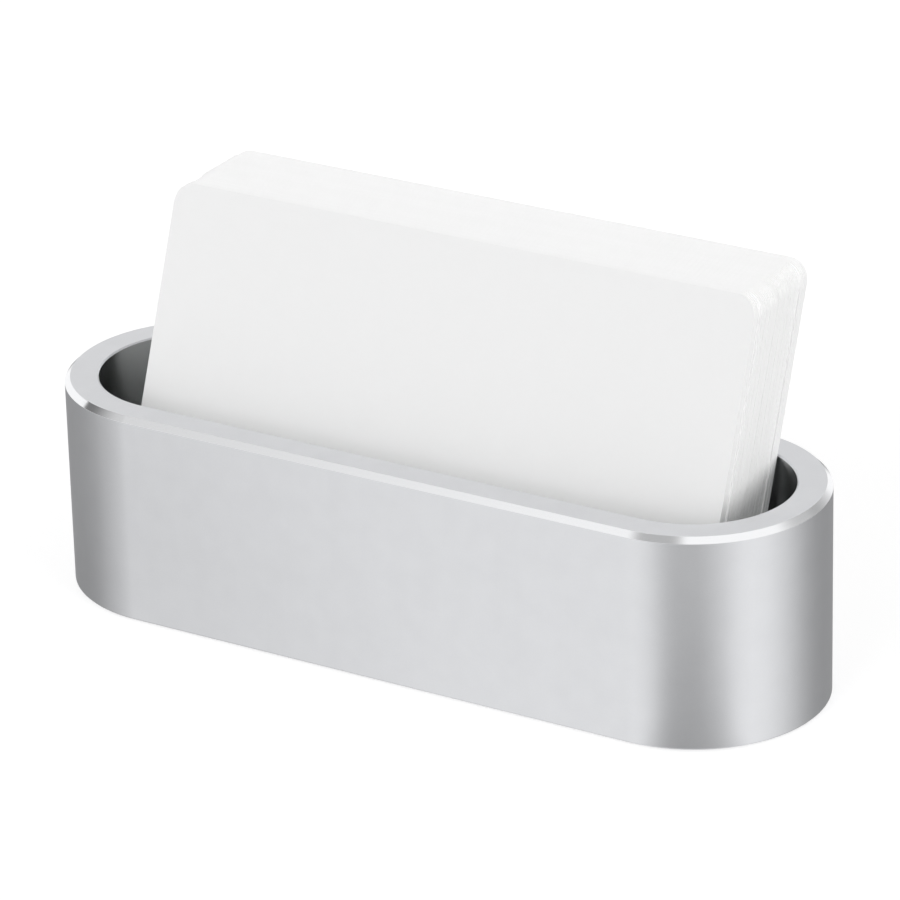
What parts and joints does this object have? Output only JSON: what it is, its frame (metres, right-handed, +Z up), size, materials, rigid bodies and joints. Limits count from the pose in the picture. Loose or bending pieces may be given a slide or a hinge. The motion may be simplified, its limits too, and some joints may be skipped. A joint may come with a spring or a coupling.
{
  "type": "business card holder",
  "caption": "Obround aluminium desk holder with an open pocket and bevelled rim, holding a leaning stack of plain rounded-corner business cards that lift out one by one.",
  "frame": {"origin": "middle of the foot pad's underside, on the surface that the holder stands on", "axes": "+X along the holder, +Y to its rear, where the cards lean, +Z up"},
  "size_m": [0.114, 0.0396, 0.055],
  "materials": {
    "satin_aluminium": "fine bead-blasted and clear anodised, with a bright cut bevel round the rim",
    "plate_aluminium": "plain rolled sheet",
    "silicone_pad": "matt",
    "card_stock": "smooth uncoated white"
  },
  "bodies": {
    "holder": {"body_sleeve": "satin_aluminium", "base_plate": "plate_aluminium", "foot_pad": "silicone_pad"},
    "card_01": {"card_01": "card_stock"},
    "card_02": {"card_02": "card_stock"},
    "card_03": {"card_03": "card_stock"},
    "card_04": {"card_04": "card_stock"},
    "card_05": {"card_05": "card_stock"},
    "card_06": {"card_06": "card_stock"},
    "card_07": {"card_07": "card_stock"},
    "card_08": {"card_08": "card_stock"},
    "card_09": {"card_09": "card_stock"},
    "card_10": {"card_10": "card_stock"},
    "card_11": {"card_11": "card_stock"},
    "card_12": {"card_12": "card_stock"},
    "card_13": {"card_13": "card_stock"},
    "card_14": {"card_14": "card_stock"},
    "card_15": {"card_15": "card_stock"},
    "card_16": {"card_16": "card_stock"},
    "card_17": {"card_17": "card_stock"},
    "card_18": {"card_18": "card_stock"},
    "card_19": {"card_19": "card_stock"},
    "card_20": {"card_20": "card_stock"},
    "card_21": {"card_21": "card_stock"},
    "card_22": {"card_22": "card_stock"},
    "card_23": {"card_23": "card_stock"},
    "card_24": {"card_24": "card_stock"},
    "card_25": {"card_25": "card_stock"},
    "card_26": {"card_26": "card_stock"},
    "card_27": {"card_27": "card_stock"},
    "card_28": {"card_28": "card_stock"},
    "card_29": {"card_29": "card_stock"},
    "card_30": {"card_30": "card_stock"},
    "card_31": {"card_31": "card_stock"},
    "card_32": {"card_32": "card_stock"},
    "card_33": {"card_33": "card_stock"},
    "card_34": {"card_34": "card_stock"},
    "card_35": {"card_35": "card_stock"},
    "card_36": {"card_36": "card_stock"},
    "card_37": {"card_37": "card_stock"},
    "card_38": {"card_38": "card_stock"},
    "card_39": {"card_39": "card_stock"},
    "card_40": {"card_40": "card_stock"}
  },
  "joints": [
    {"name": "card_01_lift", "type": "slide", "parent": "holder", "child": "card_01", "axis": [0, 0.3582, 0.9337], "range_m": [0, 0.056]},
    {"name": "card_02_lift", "type": "slide", "parent": "holder", "child": "card_02", "axis": [0, 0.3582, 0.9337], "range_m": [0, 0.056]},
    {"name": "card_03_lift", "type": "slide", "parent": "holder", "child": "card_03", "axis": [0, 0.3582, 0.9337], "range_m": [0, 0.056]},
    {"name": "card_04_lift", "type": "slide", "parent": "holder", "child": "card_04", "axis": [0, 0.3582, 0.9337], "range_m": [0, 0.056]},
    {"name": "card_05_lift", "type": "slide", "parent": "holder", "child": "card_05", "axis": [0, 0.3582, 0.9337], "range_m": [0, 0.056]},
    {"name": "card_06_lift", "type": "slide", "parent": "holder", "child": "card_06", "axis": [0, 0.3582, 0.9337], "range_m": [0, 0.056]},
    {"name": "card_07_lift", "type": "slide", "parent": "holder", "child": "card_07", "axis": [0, 0.3582, 0.9337], "range_m": [0, 0.056]},
    {"name": "card_08_lift", "type": "slide", "parent": "holder", "child": "card_08", "axis": [0, 0.3582, 0.9337], "range_m": [0, 0.056]},
    {"name": "card_09_lift", "type": "slide", "parent": "holder", "child": "card_09", "axis": [0, 0.3582, 0.9337], "range_m": [0, 0.056]},
    {"name": "card_10_lift", "type": "slide", "parent": "holder", "child": "card_10", "axis": [0, 0.3582, 0.9337], "range_m": [0, 0.056]},
    {"name": "card_11_lift", "type": "slide", "parent": "holder", "child": "card_11", "axis": [0, 0.3582, 0.9337], "range_m": [0, 0.056]},
    {"name": "card_12_lift", "type": "slide", "parent": "holder", "child": "card_12", "axis": [0, 0.3582, 0.9337], "range_m": [0, 0.056]},
    {"name": "card_13_lift", "type": "slide", "parent": "holder", "child": "card_13", "axis": [0, 0.3582, 0.9337], "range_m": [0, 0.056]},
    {"name": "card_14_lift", "type": "slide", "parent": "holder", "child": "card_14", "axis": [0, 0.3582, 0.9337], "range_m": [0, 0.056]},
    {"name": "card_15_lift", "type": "slide", "parent": "holder", "child": "card_15", "axis": [0, 0.3582, 0.9337], "range_m": [0, 0.056]},
    {"name": "card_16_lift", "type": "slide", "parent": "holder", "child": "card_16", "axis": [0, 0.3582, 0.9337], "range_m": [0, 0.056]},
    {"name": "card_17_lift", "type": "slide", "parent": "holder", "child": "card_17", "axis": [0, 0.3582, 0.9337], "range_m": [0, 0.056]},
    {"name": "card_18_lift", "type": "slide", "parent": "holder", "child": "card_18", "axis": [0, 0.3582, 0.9337], "range_m": [0, 0.056]},
    {"name": "card_19_lift", "type": "slide", "parent": "holder", "child": "card_19", "axis": [0, 0.3582, 0.9337], "range_m": [0, 0.056]},
    {"name": "card_20_lift", "type": "slide", "parent": "holder", "child": "card_20", "axis": [0, 0.3582, 0.9337], "range_m": [0, 0.056]},
    {"name": "card_21_lift", "type": "slide", "parent": "holder", "child": "card_21", "axis": [0, 0.3582, 0.9337], "range_m": [0, 0.056]},
    {"name": "card_22_lift", "type": "slide", "parent": "holder", "child": "card_22", "axis": [0, 0.3582, 0.9337], "range_m": [0, 0.056]},
    {"name": "card_23_lift", "type": "slide", "parent": "holder", "child": "card_23", "axis": [0, 0.3582, 0.9337], "range_m": [0, 0.056]},
    {"name": "card_24_lift", "type": "slide", "parent": "holder", "child": "card_24", "axis": [0, 0.3582, 0.9337], "range_m": [0, 0.056]},
    {"name": "card_25_lift", "type": "slide", "parent": "holder", "child": "card_25", "axis": [0, 0.3582, 0.9337], "range_m": [0, 0.056]},
    {"name": "card_26_lift", "type": "slide", "parent": "holder", "child": "card_26", "axis": [0, 0.3582, 0.9337], "range_m": [0, 0.056]},
    {"name": "card_27_lift", "type": "slide", "parent": "holder", "child": "card_27", "axis": [0, 0.3582, 0.9337], "range_m": [0, 0.056]},
    {"name": "card_28_lift", "type": "slide", "parent": "holder", "child": "card_28", "axis": [0, 0.3582, 0.9337], "range_m": [0, 0.056]},
    {"name": "card_29_lift", "type": "slide", "parent": "holder", "child": "card_29", "axis": [0, 0.3582, 0.9337], "range_m": [0, 0.056]},
    {"name": "card_30_lift", "type": "slide", "parent": "holder", "child": "card_30", "axis": [0, 0.3582, 0.9337], "range_m": [0, 0.056]},
    {"name": "card_31_lift", "type": "slide", "parent": "holder", "child": "card_31", "axis": [0, 0.3582, 0.9337], "range_m": [0, 0.056]},
    {"name": "card_32_lift", "type": "slide", "parent": "holder", "child": "card_32", "axis": [0, 0.3582, 0.9337], "range_m": [0, 0.056]},
    {"name": "card_33_lift", "type": "slide", "parent": "holder", "child": "card_33", "axis": [0, 0.3582, 0.9337], "range_m": [0, 0.056]},
    {"name": "card_34_lift", "type": "slide", "parent": "holder", "child": "card_34", "axis": [0, 0.3582, 0.9337], "range_m": [0, 0.056]},
    {"name": "card_35_lift", "type": "slide", "parent": "holder", "child": "card_35", "axis": [0, 0.3582, 0.9337], "range_m": [0, 0.056]},
    {"name": "card_36_lift", "type": "slide", "parent": "holder", "child": "card_36", "axis": [0, 0.3582, 0.9337], "range_m": [0, 0.056]},
    {"name": "card_37_lift", "type": "slide", "parent": "holder", "child": "card_37", "axis": [0, 0.3582, 0.9337], "range_m": [0, 0.056]},
    {"name": "card_38_lift", "type": "slide", "parent": "holder", "child": "card_38", "axis": [0, 0.3582, 0.9337], "range_m": [0, 0.056]},
    {"name": "card_39_lift", "type": "slide", "parent": "holder", "child": "card_39", "axis": [0, 0.3582, 0.9337], "range_m": [0, 0.056]},
    {"name": "card_40_lift", "type": "slide", "parent": "holder", "child": "card_40", "axis": [0, 0.3582, 0.9337], "range_m": [0, 0.056]}
  ]
}
